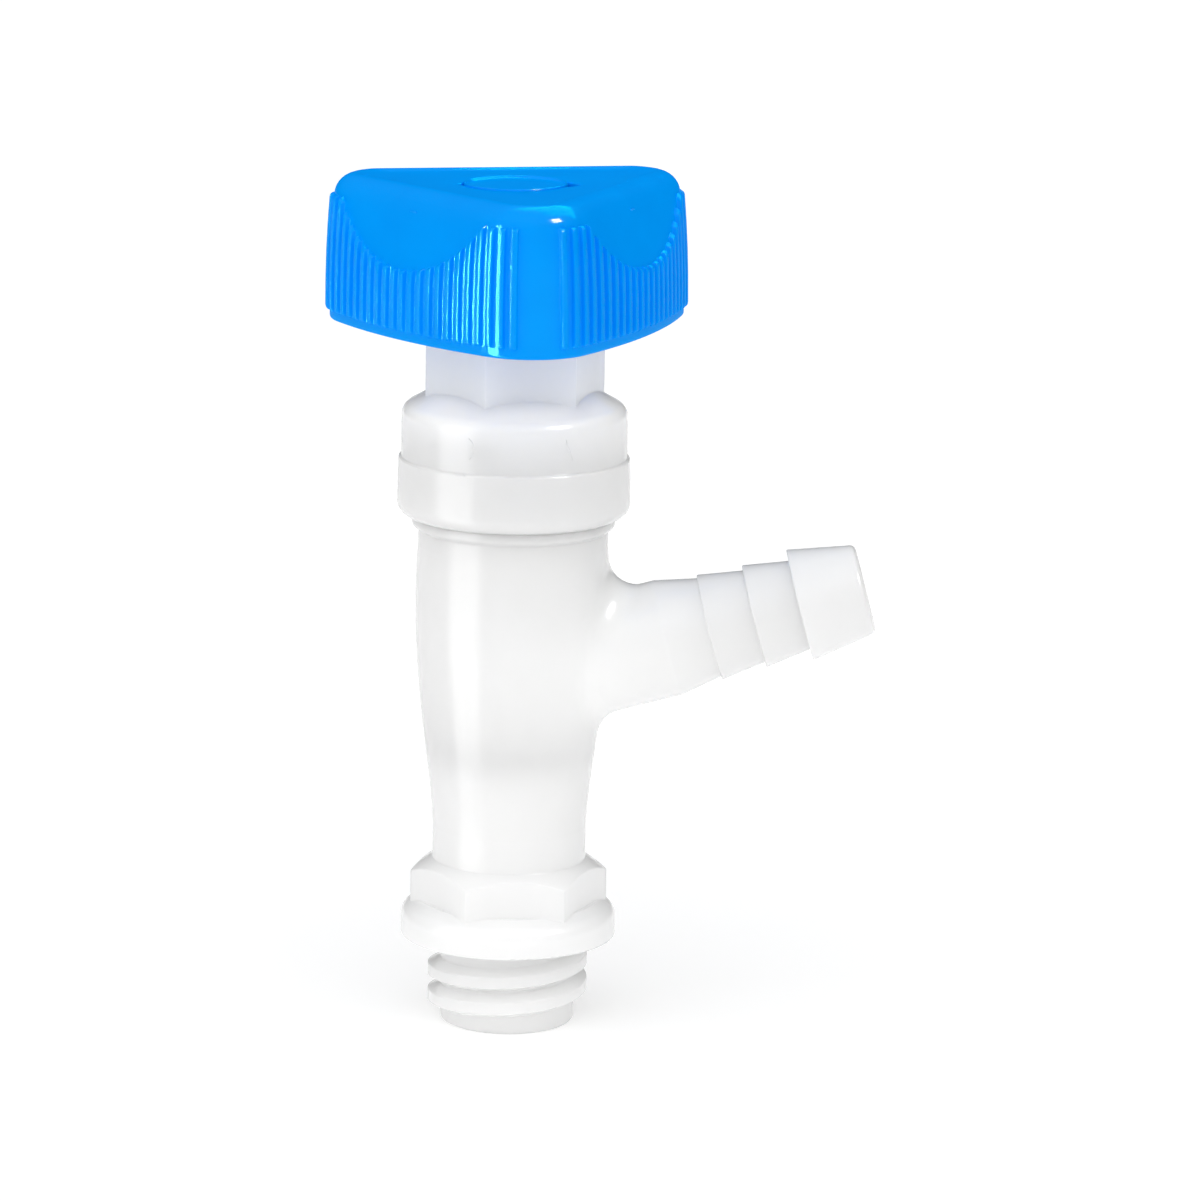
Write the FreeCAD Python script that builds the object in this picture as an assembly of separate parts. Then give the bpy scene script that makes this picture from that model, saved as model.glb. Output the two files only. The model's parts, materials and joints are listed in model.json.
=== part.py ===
import FreeCAD, Part
import math
import os

# A small plastic drain tap: a threaded tee body with an angled barbed spout, a screwed-in bonnet,
# and a rising spindle that lifts a guided valve plug off its seat when the lobed handle is turned.
# Millimetres. +Z runs up the spindle, +X is the spout's side, and the origin is the centre of the
# flange's seal face, where the tap rests against the vessel that it is screwed into.

os.makedirs("parts", exist_ok=True)
Vector = FreeCAD.Vector
UP = Vector(0, 0, 1)
ORIGIN = Vector(0, 0, 0)

# Threaded spigot, below the flange
SPIGOT_END = -10.9
SPIGOT_ROOT_R = 8.25
SPIGOT_CREST_R = 9.85
SPIGOT_PITCH = 3.3
SPIGOT_FIRST_TURN = -600.0
SPIGOT_LAST_TURN = 170.0
SPIGOT_ZERO_Z = -3.0
SPIGOT_RIDGE = (2.9, 1.4)
INLET_R = 4.6
INLET_TOP = 20.5

# Flange and lower wrench hexagon
FLANGE_R = 13.25
FLANGE_EDGE = 2.1
FLANGE_TOP = 4.4
SEAT_FACE_R = 10.0
SEAT_RELIEF = 0.5
HEX_FLATS = 21.0
HEX_TURN = 5.4
HEX_EDGE_TOP = 7.8
NECK_R = 9.42
NECK_BOTTOM = 9.75

# Barrel: radius at a few heights, from the neck to the ring under the bonnet
BARREL = [(NECK_R, 13.8), (9.77, 18.4), (10.53, 24.5), (11.25, 30.8), (11.77, 39.5), (11.56, 49.0)]
RING_R = 12.35
RING_BOTTOM = 51.5
RING_TOP = 52.6

# Valve chamber inside the barrel
THROAT_R = 4.2
SEAT_LIP_R = 5.3
SEAT_TOP = 23.6
CHAMBER_FLOOR = 23.0
CHAMBER_R = 8.6
KEYWAY_HALF_WIDTH = 1.1
KEYWAY_R = 9.45
KEYWAY_BOTTOM = 51.5

# Spout, measured along its own axis from the barrel's axis
SPOUT_RISE = 15.2
SPOUT_Z = 32.4
SPOUT_BORE_R = 3.9
STUB_R = 7.2
STUB_END = 19.8
BARB_START = 25.0
BARB_ROOT_R = 6.17
BARBS = [(25.0, 6.6, 30.65, 5.75), (30.65, 6.4, 36.35, 5.55), (36.35, 6.95, 44.6, 5.5)]
TIP_ROUND = 0.8
ROOT_FILLET = 3.6

# Joint between the barrel's neck and the bonnet's skirt
NECK_TOP = 61.5
NECK_ROOT_R = 11.0
NECK_CREST_R = 11.9
NECK_PITCH = 2.2
NECK_CLEARANCE = 0.15
NECK_THREAD = (54.2, 60.2)
NECK_RIDGE = (1.3, 0.5)
NECK_GROOVE = (1.6, 0.8)
GASKET_IN_R = 8.9
GASKET_OUT_R = 10.9

# Bonnet
COLLAR_BOTTOM_R = 14.24
COLLAR_BOTTOM_ROUND = 1.9
COLLAR_STEP_R = 14.04
COLLAR_STEP = 59.8
COLLAR_TOP_R = 13.72
SHOULDER_START = 65.9
SHOULDER_SLOPE = 29.0
SHOULDER_ROUND = 1.7
COLUMN_FLATS = 19.1
COLUMN_TURN = 12.1
COLUMN_TOP = 80.5
CEILING = 63.0
NUT_TOP = 69.0
NUT_RELIEF_R = 5.7
WEB_BOTTOM = 74.0
WEB_TOP = 75.2
GLAND_R = 5.9
GLAND_RING_SECTION = 0.9
GLAND_RINGS = (1.0, 2.9)
BUSH_DEPTH = 1.3
BUSH_FLANGE_R = 7.4
BUSH_FLANGE = 0.8

# Spindle and its running thread
LEAD = 3.0
SCREW_ROOT_R = 4.4
SCREW_CREST_R = 5.3
SCREW_CLEARANCE = 0.2
SCREW_RIDGE = (1.9, 1.0)
SCREW_GROOVE = (2.3, 1.4)
SCREW_BOTTOM = 58.6
SCREW_TOP = 67.2
SHAFT_R = 4.0
RUN = 0.06
HEAD_R = 4.1
HEAD_BOTTOM = 47.7
HEAD_TOP = 50.2
SWIVEL_NECK_R = 2.9
STOP_R = 6.8
STOP_BOTTOM = 56.2
STOP_TOP = 57.7
SQUARE = 6.4
SQUARE_BOTTOM = 82.2
SQUARE_TOP = 89.3
PILOT_R = 1.52
PILOT_BOTTOM = 76.0

# Valve plug
PISTON_R = 8.52
PISTON_BOTTOM = 41.0
PISTON_TOP = 54.4
STEM_R = 3.4
DISC_R = 6.6
DISC_BOTTOM = 25.6
DISC_TOP = 28.2
BUTTON_R = 3.3
BUTTON_BOTTOM = 21.3
BUTTON_TOP = 23.6
STUD_R = 2.5
RING_GROOVE_R = 6.4
RING_GROOVE = (43.3, 45.7)
PLUG_RING_SECTION = 1.05
KEY_HALF_WIDTH = 1.0
KEY_R = 9.3
KEY_BOTTOM = 51.8
CLIP_GROOVE_R = 5.5
CLIP = (50.35, 51.35)
CLIP_GAP = 0.9

# Handle: three lobes, with a corner radius, bulging sides and drafted walls
LOBE_R = 24.4
LOBE_ROUND = 8.2
SIDE_ROUND = 77.75
LOBE_TURN = 37.9
DRAFT = 2.6
OUTLINE_Z = 80.0
HANDLE_BOTTOM = 75.9
HANDLE_TOP = 93.4
EDGE_ROUND = 2.0
FACET_ROUND = 1.5
RIB_COUNT = 24
RIB_PITCH = 1.7
RIB_WIDTH = 0.6
RIB_HEIGHT = 0.55
RIB_BOTTOM = 77.0
RIB_TOP = 91.2
SCALLOP_R = 19.0
SCALLOP_Z = 103.2
FACET_SLOPE = 15.0
FACET_Z = 84.2
WALL = 2.2
TOP_PLATE = 2.8
HUB_R = 8.2
HUB_BOTTOM = 82.0
WEB_HALF_WIDTH = 0.7
RECESS_R = 6.35
RECESS_FLOOR = 89.5

# Cap, screw and washer in the handle's recess
CAP_GAP = 0.05
CAP_THICK = 1.1
CAP_RIM = 0.5
CAP_RIM_PROUD = 0.15
CAP_SKIRT = 2.9
CAP_SKIRT_IN_R = 5.15
FIXING_R = 1.5
FIXING_TIP = 78.0
FIXING_HEAD_R = 3.3
FIXING_HEAD = (90.3, 92.0)
FIXING_SLOT = (0.35, 1.6, 91.1)
WASHER_IN_R = 1.7
WASHER_OUT_R = 4.6
WASHER_THICK = 0.8

# General roundings and fits
SOFT = 0.3
OVERLAP = 1.0
SLIP = 0.03


def rounded_wire(points):
    """A closed wire in the XZ plane through (radius, height, corner rounding) points."""
    count = len(points)
    corners = [Vector(p[0], 0, p[1]) for p in points]
    ends = []
    for i, point in enumerate(points):
        here = corners[i]
        back = corners[i - 1] - here
        ahead = corners[(i + 1) % count] - here
        rounding = point[2] if len(point) > 2 else 0.0
        if not rounding:
            ends.append((here, None, here))
            continue
        half = back.getAngle(ahead) / 2
        reach = rounding / math.tan(half)
        back.normalize()
        ahead.normalize()
        bisector = back + ahead
        bisector.normalize()
        middle = here + bisector * (rounding / math.sin(half) - rounding)
        ends.append((here + back * reach, middle, here + ahead * reach))
    edges = []
    for i, (start, middle, end) in enumerate(ends):
        if middle is not None:
            edges.append(Part.Arc(start, middle, end).toShape())
        following = ends[(i + 1) % count][0]
        if end.distanceToPoint(following) > 1e-6:
            edges.append(Part.LineSegment(end, following).toShape())
    return Part.Wire(edges)


def turned(points):
    """A solid turned about Z from a closed outline of (radius, height, rounding) points."""
    face = Part.Face(rounded_wire(points))
    return face.revolve(ORIGIN, UP, 360)


def cylinder(radius, low, high):
    return Part.makeCylinder(radius, high - low, Vector(0, 0, low))


def tube(inner, outer, low, high):
    return cylinder(outer, low, high).cut(cylinder(inner, low - 1, high + 1))


def ring(radius, section, height):
    return Part.makeTorus(radius, section, Vector(0, 0, height))


def block(low, high):
    size = [high[i] - low[i] for i in range(3)]
    return Part.makeBox(size[0], size[1], size[2], Vector(*low))


def hexagon(flats, turn, low, high):
    """A hexagonal prism with its first corner at the angle turn."""
    corner = flats / math.sqrt(3)
    points = []
    for i in range(7):
        angle = math.radians(turn + 60 * i)
        points.append(Vector(corner * math.cos(angle), corner * math.sin(angle), low))
    return Part.Face(Part.makePolygon(points)).extrude(Vector(0, 0, high - low))


def helical_ridge(root, crest, pitch, low, high, base, top, angle=0.0):
    """A right-hand thread ridge whose middle climbs from low to high, sunk a little in its root."""
    sink = 0.3
    rise = 0.15
    helix = Part.makeHelix(pitch, high - low, root)
    slope = (base - top) / (crest - root)
    points = [
        Vector(root - sink, 0, -base / 2 - slope * sink / 2),
        Vector(crest + rise, 0, -top / 2 + slope * rise / 2),
        Vector(crest + rise, 0, top / 2 - slope * rise / 2),
        Vector(root - sink, 0, base / 2 + slope * sink / 2),
    ]
    profile = Part.makePolygon(points + points[:1])
    ridge = Part.Wire(helix.Edges).makePipeShell([profile], True, True)
    ridge.translate(Vector(0, 0, low))
    ridge.rotate(ORIGIN, UP, angle)
    return ridge.common(cylinder(crest, low - pitch, high + pitch))


def along_spout(shape):
    """Stands a shape made about Z on the spout's own axis."""
    placed = shape.copy()
    placed.rotate(ORIGIN, Vector(0, 1, 0), 90.0 - SPOUT_RISE)
    placed.translate(Vector(0, 0, SPOUT_Z))
    return placed


def cut_in_turn(shape, tools):
    for tool in tools:
        shape = shape.cut(tool)
    return shape


def save(shape, node):
    solid = shape.Solids[0] if len(shape.Solids) == 1 else Part.Compound(shape.Solids)
    print(node, len(shape.Solids), shape.isValid(), round(shape.Volume, 1))
    solid.exportStep("parts/" + node + ".step")


def barrel():
    """The tapered barrel as one turned solid, from the flange to the bonnet's joint."""
    curve = Part.BSplineCurve()
    curve.interpolate([Vector(r, 0, z) for r, z in BARREL])
    foot = Vector(NECK_R, 0, NECK_BOTTOM - 4)
    start = Vector(BARREL[0][0], 0, BARREL[0][1])
    end = Vector(BARREL[-1][0], 0, BARREL[-1][1])
    shoulder = Vector(BARREL[-1][0], 0, RING_TOP)
    edges = [
        Part.LineSegment(Vector(0, 0, foot.z), foot).toShape(),
        Part.LineSegment(foot, start).toShape(),
        curve.toShape(),
        Part.LineSegment(end, shoulder).toShape(),
        Part.LineSegment(shoulder, Vector(0, 0, RING_TOP)).toShape(),
        Part.LineSegment(Vector(0, 0, RING_TOP), Vector(0, 0, foot.z)).toShape(),
    ]
    return Part.Face(Part.Wire(edges)).revolve(ORIGIN, UP, 360)


def spout_outside():
    points = [(0, 4.0), (STUB_R, 4.0), (STUB_R, STUB_END), (BARB_ROOT_R, BARB_START)]
    for start, large, end, small in BARBS:
        points.append((large, start, 0.12))
        points.append((small, end))
    tip = points.pop()
    points.append((tip[0], tip[1], TIP_ROUND))
    points.append((0, tip[1]))
    return along_spout(turned(points))


def make_valve_body():
    """Spigot, flange, hexagon, barrel and spout, moulded in one piece."""
    spigot = turned(
        [
            (0, SPIGOT_END),
            (SPIGOT_ROOT_R, SPIGOT_END, 1.5 * SOFT),
            (SPIGOT_ROOT_R, OVERLAP),
            (0, OVERLAP),
        ]
    )
    per_degree = SPIGOT_PITCH / 360
    first = SPIGOT_ZERO_Z + SPIGOT_FIRST_TURN * per_degree
    last = SPIGOT_ZERO_Z + SPIGOT_LAST_TURN * per_degree
    thread = helical_ridge(
        SPIGOT_ROOT_R, SPIGOT_CREST_R, SPIGOT_PITCH, first, last, *SPIGOT_RIDGE, SPIGOT_FIRST_TURN
    )
    flange = turned(
        [
            (0, 0),
            (FLANGE_R, 0, SOFT),
            (FLANGE_R, FLANGE_EDGE + 1.2, 1.8),
            (HEX_FLATS / 2 + 0.6, FLANGE_TOP + 0.1),
            (0, FLANGE_TOP + 0.1),
        ]
    )
    corner = HEX_FLATS / math.sqrt(3)
    chamfer = turned(
        [
            (0, 1),
            (corner + 0.1, 1),
            (corner + 0.1, HEX_EDGE_TOP),
            (NECK_R, NECK_BOTTOM),
            (0, NECK_BOTTOM),
        ]
    )
    hexed = hexagon(HEX_FLATS, HEX_TURN, 1, NECK_BOTTOM).common(chamfer)
    trunk = barrel()
    stub = along_spout(cylinder(STUB_R, 4.0, STUB_END - 2))
    tee = trunk.fuse(stub)
    root_edges = [
        edge
        for edge in tee.Edges
        if edge.BoundBox.XMin > 2 and edge.BoundBox.XMax < 13 and edge.BoundBox.ZLength > 5
        and edge.BoundBox.ZMin > 20 and edge.Length > 8 and edge.BoundBox.YLength > 5
    ]
    tee = tee.makeFillet(ROOT_FILLET, root_edges)
    ring_band = turned(
        [
            (0, RING_BOTTOM - 1),
            (BARREL[-1][0] - 0.5, RING_BOTTOM - 1),
            (RING_R, RING_BOTTOM, 0.6),
            (RING_R, RING_TOP, 0.25),
            (0, RING_TOP),
        ]
    )
    neck = turned(
        [
            (0, RING_BOTTOM - OVERLAP),
            (NECK_ROOT_R, RING_BOTTOM - OVERLAP),
            (NECK_ROOT_R, NECK_TOP, SOFT),
            (0, NECK_TOP),
        ]
    )
    neck_thread = helical_ridge(NECK_ROOT_R, NECK_CREST_R, NECK_PITCH, *NECK_THREAD, *NECK_RIDGE)
    flange = flange.cut(tube(SPIGOT_ROOT_R, SEAT_FACE_R, -1, SEAT_RELIEF))
    outside = tee.fuse([spout_outside(), spigot, thread, flange, hexed, ring_band, neck, neck_thread])
    inside = cylinder(INLET_R, SPIGOT_END - 1, INLET_TOP)
    throat = cylinder(THROAT_R, INLET_TOP - 0.5, SEAT_TOP + 1)
    chamber = cylinder(CHAMBER_R, CHAMBER_FLOOR, NECK_TOP + 1)
    chamber = chamber.cut(cylinder(SEAT_LIP_R, CHAMBER_FLOOR - 1, SEAT_TOP))
    lead_in = Part.makeCone(CHAMBER_R - 0.01, CHAMBER_R + 0.6, 0.6, Vector(0, 0, NECK_TOP - 0.6))
    inlet_flare = Part.makeCone(INLET_R + 0.5, INLET_R - 0.01, 0.5, Vector(0, 0, SPIGOT_END))
    waterway = along_spout(cylinder(SPOUT_BORE_R, CHAMBER_R - 3.0, BARBS[-1][2] + 1))
    keyway = block(
        (-KEYWAY_HALF_WIDTH, -KEYWAY_R, KEYWAY_BOTTOM), (KEYWAY_HALF_WIDTH, KEYWAY_R, NECK_TOP + 1)
    ).common(cylinder(KEYWAY_R, KEYWAY_BOTTOM, NECK_TOP + 1))
    return outside.cut([inside, throat, chamber, lead_in, inlet_flare, waterway, keyway])


def make_bonnet():
    """Skirt, shoulder and hexagonal column, moulded in one piece."""
    slope = math.tan(math.radians(SHOULDER_SLOPE))
    column_corner = COLUMN_FLATS / math.sqrt(3)
    shoulder_top = SHOULDER_START + (COLLAR_TOP_R - 9.0) * slope
    outside = turned(
        [
            (0, RING_TOP),
            (COLLAR_BOTTOM_R, RING_TOP, COLLAR_BOTTOM_ROUND),
            (COLLAR_STEP_R, COLLAR_STEP, SOFT),
            (COLLAR_TOP_R, COLLAR_STEP + 0.15),
            (COLLAR_TOP_R, SHOULDER_START, SHOULDER_ROUND),
            (9.0, shoulder_top),
            (0, shoulder_top),
        ]
    )
    top_chamfer = turned(
        [
            (0, RING_TOP + 5),
            (column_corner + 0.1, RING_TOP + 5),
            (column_corner + 0.1, COLUMN_TOP - 0.9),
            (COLUMN_FLATS / 2, COLUMN_TOP),
            (0, COLUMN_TOP),
        ]
    )
    column = hexagon(COLUMN_FLATS, COLUMN_TURN, RING_TOP + 5, COLUMN_TOP).common(top_chamfer)
    body = outside.fuse(column)
    skirt_bore = cylinder(NECK_ROOT_R + NECK_CLEARANCE, RING_TOP - 1, CEILING)
    # the groove starts one whole turn lower than the neck's ridge, so the two stay in phase
    low, high = NECK_THREAD
    skirt_thread = helical_ridge(
        NECK_ROOT_R,
        NECK_CREST_R + NECK_CLEARANCE,
        NECK_PITCH,
        low - NECK_PITCH,
        high + NECK_PITCH,
        *NECK_GROOVE,
    )
    groove = helical_ridge(
        SCREW_ROOT_R,
        SCREW_CREST_R + SCREW_CLEARANCE,
        LEAD,
        SCREW_BOTTOM,
        SCREW_BOTTOM + 5 * LEAD,
        *SCREW_GROOVE,
    )
    groove = groove.common(cylinder(GLAND_R, CEILING - 0.5, NUT_TOP + 0.5))
    relief = turned(
        [
            (0, NUT_TOP),
            (NUT_RELIEF_R, NUT_TOP),
            (NUT_RELIEF_R, WEB_BOTTOM - 1.0),
            (SHAFT_R + RUN, WEB_BOTTOM),
            (0, WEB_BOTTOM),
        ]
    )
    shaft_bore = cylinder(SHAFT_R + RUN, WEB_BOTTOM - 1, WEB_TOP + 1)
    gland = cylinder(GLAND_R, WEB_TOP, COLUMN_TOP + 1)
    screw_bore = cylinder(SCREW_ROOT_R + SCREW_CLEARANCE, CEILING - 1, NUT_TOP + 0.5)
    tools = [skirt_bore, skirt_thread, screw_bore, groove, relief, shaft_bore, gland]
    return cut_in_turn(body, tools)


def make_bonnet_gasket():
    return tube(GASKET_IN_R, GASKET_OUT_R, NECK_TOP, CEILING)


def make_gland_bush():
    """The flanged bush that closes the gland and guides the shaft."""
    plug = tube(SHAFT_R + RUN, GLAND_R - SLIP, COLUMN_TOP - BUSH_DEPTH, COLUMN_TOP)
    flange = tube(SHAFT_R + RUN, BUSH_FLANGE_R, COLUMN_TOP, COLUMN_TOP + BUSH_FLANGE)
    return plug.fuse(flange)


def make_spindle():
    """Swivel head, stop collar, running thread, shaft and square drive."""
    turned_part = turned(
        [
            (0, HEAD_BOTTOM),
            (HEAD_R, HEAD_BOTTOM, SOFT),
            (HEAD_R, HEAD_TOP, SOFT),
            (SWIVEL_NECK_R, HEAD_TOP),
            (SWIVEL_NECK_R, STOP_BOTTOM, SOFT),
            (STOP_R, STOP_BOTTOM, SOFT),
            (STOP_R, STOP_TOP, SOFT),
            (SCREW_ROOT_R, STOP_TOP, SOFT),
            (SCREW_ROOT_R, SCREW_TOP + 0.6),
            (SHAFT_R, SCREW_TOP + 1.0),
            (SHAFT_R, SQUARE_TOP, SOFT),
            (0, SQUARE_TOP),
        ]
    )
    screw = helical_ridge(
        SCREW_ROOT_R, SCREW_CREST_R, LEAD, SCREW_BOTTOM, SCREW_TOP - 0.9, *SCREW_RIDGE
    )
    body = turned_part.fuse(screw)
    half = SQUARE / 2
    flats = block((-10, -10, SQUARE_BOTTOM), (10, 10, SQUARE_TOP + 1))
    flats = flats.cut(block((-half, -half, SQUARE_BOTTOM - 1), (half, half, SQUARE_TOP + 2)))
    pilot = cylinder(PILOT_R, PILOT_BOTTOM, SQUARE_TOP + 1)
    return body.cut([flats, pilot])


def make_valve_plug():
    """Button for the seal, disc, stem and guided piston with a socket for the spindle's head."""
    low, high = RING_GROOVE
    outside = turned(
        [
            (0, BUTTON_BOTTOM),
            (BUTTON_R, BUTTON_BOTTOM, 0.8),
            (BUTTON_R, BUTTON_TOP, 0.2),
            (STUD_R, BUTTON_TOP),
            (STUD_R, DISC_BOTTOM),
            (DISC_R, DISC_BOTTOM, 0.3),
            (DISC_R, DISC_TOP, 0.6),
            (STEM_R, DISC_TOP, 0.6),
            (STEM_R, PISTON_BOTTOM, 0.8),
            (PISTON_R, PISTON_BOTTOM, 0.3),
            (PISTON_R, low),
            (RING_GROOVE_R, low),
            (RING_GROOVE_R, high),
            (PISTON_R, high),
            (PISTON_R, PISTON_TOP, 0.3),
            (0, PISTON_TOP),
        ]
    )
    keys = block((-KEY_HALF_WIDTH, -KEY_R, KEY_BOTTOM), (KEY_HALF_WIDTH, KEY_R, PISTON_TOP))
    keys = keys.common(cylinder(KEY_R, KEY_BOTTOM, PISTON_TOP))
    socket = cylinder(HEAD_R + RUN, HEAD_BOTTOM - 0.1, PISTON_TOP + 1)
    clip_groove = cylinder(CLIP_GROOVE_R, CLIP[0] - 0.05, CLIP[1] + 0.05)
    return outside.fuse(keys).cut([socket, clip_groove])


def make_swivel_clip():
    """A split ring sprung into the plug's socket above the spindle's head."""
    body = tube(SWIVEL_NECK_R + RUN, CLIP_GROOVE_R - 0.05, CLIP[0], CLIP[1])
    gap = block((0, -CLIP_GAP, CLIP[0] - OVERLAP), (CHAMBER_R, CLIP_GAP, CLIP[1] + OVERLAP))
    return body.cut(gap)


def make_seat_seal():
    """The soft washer stretched over the plug's button."""
    return turned(
        [
            (STUD_R + 0.02, SEAT_TOP + 0.02),
            (DISC_R - 0.1, SEAT_TOP + 0.02, 0.3),
            (DISC_R - 0.1, DISC_BOTTOM, 0.2),
            (STUD_R + 0.02, DISC_BOTTOM),
        ]
    )


# The centre of a corner arc, seen from the middle of the side beside it, that of the side's own
# arc, which lies behind the axis, and the angle that half the side's arc spans
CORNER_X = (LOBE_R - LOBE_ROUND) * math.cos(math.pi / 3)
CORNER_Y = (LOBE_R - LOBE_ROUND) * math.sin(math.pi / 3)
SIDE_BACK = math.sqrt((SIDE_ROUND - LOBE_ROUND) ** 2 - CORNER_Y**2) - CORNER_X
SIDE_SPAN = math.atan2(CORNER_Y, CORNER_X + SIDE_BACK)
SIDE_ARC = SIDE_ROUND * SIDE_SPAN
HALF_SIDE = SIDE_ARC + LOBE_ROUND * (math.pi / 3 - SIDE_SPAN)


def outline_point(side, arc, offset, z):
    """A point on the lobed outline: side 0-2, arc length from the side's middle, outward offset."""
    sign = 1 if arc >= 0 else -1
    length = abs(arc)
    if length <= SIDE_ARC:
        angle = length / SIDE_ROUND
        x = -SIDE_BACK + (SIDE_ROUND + offset) * math.cos(angle)
        y = (SIDE_ROUND + offset) * math.sin(angle)
    else:
        angle = SIDE_SPAN + (length - SIDE_ARC) / LOBE_ROUND
        x = CORNER_X + (LOBE_ROUND + offset) * math.cos(angle)
        y = CORNER_Y + (LOBE_ROUND + offset) * math.sin(angle)
    turn = math.radians(LOBE_TURN + 60 + 120 * side)
    y = y * sign
    return Vector(
        x * math.cos(turn) - y * math.sin(turn), x * math.sin(turn) + y * math.cos(turn), z
    )


def smooth_outline(offset, z):
    """The plain lobed outline, offset outward, as tangent arcs."""
    edges = []
    for side in range(3):
        left = outline_point(side, -SIDE_ARC, offset, z)
        middle = outline_point(side, 0, offset, z)
        right = outline_point(side, SIDE_ARC, offset, z)
        corner = outline_point(side, HALF_SIDE, offset, z)
        following = outline_point((side + 1) % 3, -SIDE_ARC, offset, z)
        edges.append(Part.Arc(left, middle, right).toShape())
        edges.append(Part.Arc(right, corner, following).toShape())
    return Part.Wire(edges)


def ribbed_outline(offset, z):
    """The outline with its ribs: short straight runs between them, an arc over each smooth corner."""
    edges = []
    base = offset - RIB_HEIGHT
    last = RIB_COUNT - 1
    half_rib = RIB_WIDTH / 2
    half_foot = half_rib + 0.08
    for side in range(3):
        points = []
        for k in range(RIB_COUNT):
            arc = (k - last / 2) * RIB_PITCH
            points.append(outline_point(side, arc - half_foot, base, z))
            points.append(outline_point(side, arc - half_rib, offset, z))
            points.append(outline_point(side, arc + half_rib, offset, z))
            points.append(outline_point(side, arc + half_foot, base, z))
        for start, end in zip(points, points[1:]):
            edges.append(Part.LineSegment(start, end).toShape())
        corner = outline_point(side, HALF_SIDE, base, z)
        following = outline_point((side + 1) % 3, -last / 2 * RIB_PITCH - half_foot, base, z)
        edges.append(Part.Arc(points[-1], corner, following).toShape())
    return Part.Wire(edges)


def lean(z):
    """How far the drafted wall stands outside the nominal outline at a level."""
    return (OUTLINE_Z - z) * math.tan(math.radians(DRAFT))


def drafted(outline, offset, low, high):
    """A solid between two levels of an outline whose walls lean in by the draft angle."""
    wires = [outline(offset + lean(z), z) for z in (low, high)]
    return Part.makeLoft(wires, True, True)


def facet_tool(side):
    """What lies outside one side's flat facet, which leans in from the middle of the rib tops."""
    middle = outline_point(side, 0, lean(FACET_Z) - RIB_HEIGHT, FACET_Z)
    turn = math.degrees(math.atan2(middle.y, middle.x))
    tool = block((0, -2 * LOBE_R, 0), (LOBE_R, 2 * LOBE_R, 2 * LOBE_R))
    tool.rotate(ORIGIN, Vector(0, 1, 0), -FACET_SLOPE)
    tool.translate(Vector(math.hypot(middle.x, middle.y), 0, FACET_Z))
    tool.rotate(ORIGIN, UP, turn)
    return tool


def scallop_tool(side):
    """A cylinder across one side whose underside ends the ribs in a curve."""
    middle = outline_point(side, 0, 0, 0)
    turn = math.degrees(math.atan2(middle.y, middle.x))
    tool = Part.makeCylinder(SCALLOP_R, 2 * LOBE_R, Vector(0, 0, SCALLOP_Z), Vector(1, 0, 0))
    tool.rotate(ORIGIN, UP, turn)
    return tool


def edges_at(shape, level):
    """The long edges that lie flat at one level."""
    flat = [e for e in shape.Edges if e.BoundBox.ZLength < 0.3 and e.Length > 5]
    return [e for e in flat if e.BoundBox.ZMin > level - 0.5]


def make_handle():
    """A hollow three-lobed handle with ribbed sides, a hub and stiffening webs."""
    core = drafted(smooth_outline, -RIB_HEIGHT, HANDLE_BOTTOM, HANDLE_TOP)
    core = core.makeFillet(EDGE_ROUND, edges_at(core, HANDLE_TOP))
    core = core.cut([facet_tool(side) for side in range(3)])
    core = core.makeFillet(FACET_ROUND, edges_at(core, HANDLE_TOP))
    ribs = drafted(ribbed_outline, 0.0, RIB_BOTTOM, RIB_TOP)
    ribs = ribs.cut([scallop_tool(side) for side in range(3)])
    outside = core.fuse(ribs)
    hollow = drafted(
        smooth_outline, -RIB_HEIGHT - WALL, HANDLE_BOTTOM - 1, HANDLE_TOP - TOP_PLATE
    )
    webs = []
    for i in range(6):
        web = block((0, -WEB_HALF_WIDTH, HUB_BOTTOM), (LOBE_R, WEB_HALF_WIDTH, HANDLE_TOP))
        web.rotate(ORIGIN, UP, LOBE_TURN + 60 * i)
        webs.append(web)
    hub = cylinder(HUB_R, HUB_BOTTOM, HANDLE_TOP)
    stiffening = hub.fuse(webs)
    shell = outside.cut(hollow.cut(stiffening))
    recess = cylinder(RECESS_R, RECESS_FLOOR, HANDLE_TOP + 1)
    half = SQUARE / 2 + SLIP
    socket = block((-half, -half, HUB_BOTTOM - 1), (half, half, RECESS_FLOOR + 1))
    socket = socket.common(cylinder(SHAFT_R + SLIP, HUB_BOTTOM - 1, RECESS_FLOOR + 1))
    bottom_relief = cylinder(SHAFT_R + 0.1, HUB_BOTTOM - 1, SQUARE_BOTTOM + 0.1)
    return shell.cut([recess, socket, bottom_relief])


def make_handle_cap():
    """The snap-in cap over the screw: a disc with a raised rim and a short skirt."""
    edge = RECESS_R - CAP_GAP
    disc = cylinder(edge, HANDLE_TOP - CAP_THICK, HANDLE_TOP)
    rim = tube(edge - CAP_RIM, edge, HANDLE_TOP - CAP_RIM, HANDLE_TOP + CAP_RIM_PROUD)
    skirt = tube(CAP_SKIRT_IN_R, edge - 2 * CAP_GAP, HANDLE_TOP - CAP_SKIRT, HANDLE_TOP - CAP_RIM)
    return disc.fuse([rim, skirt])


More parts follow.
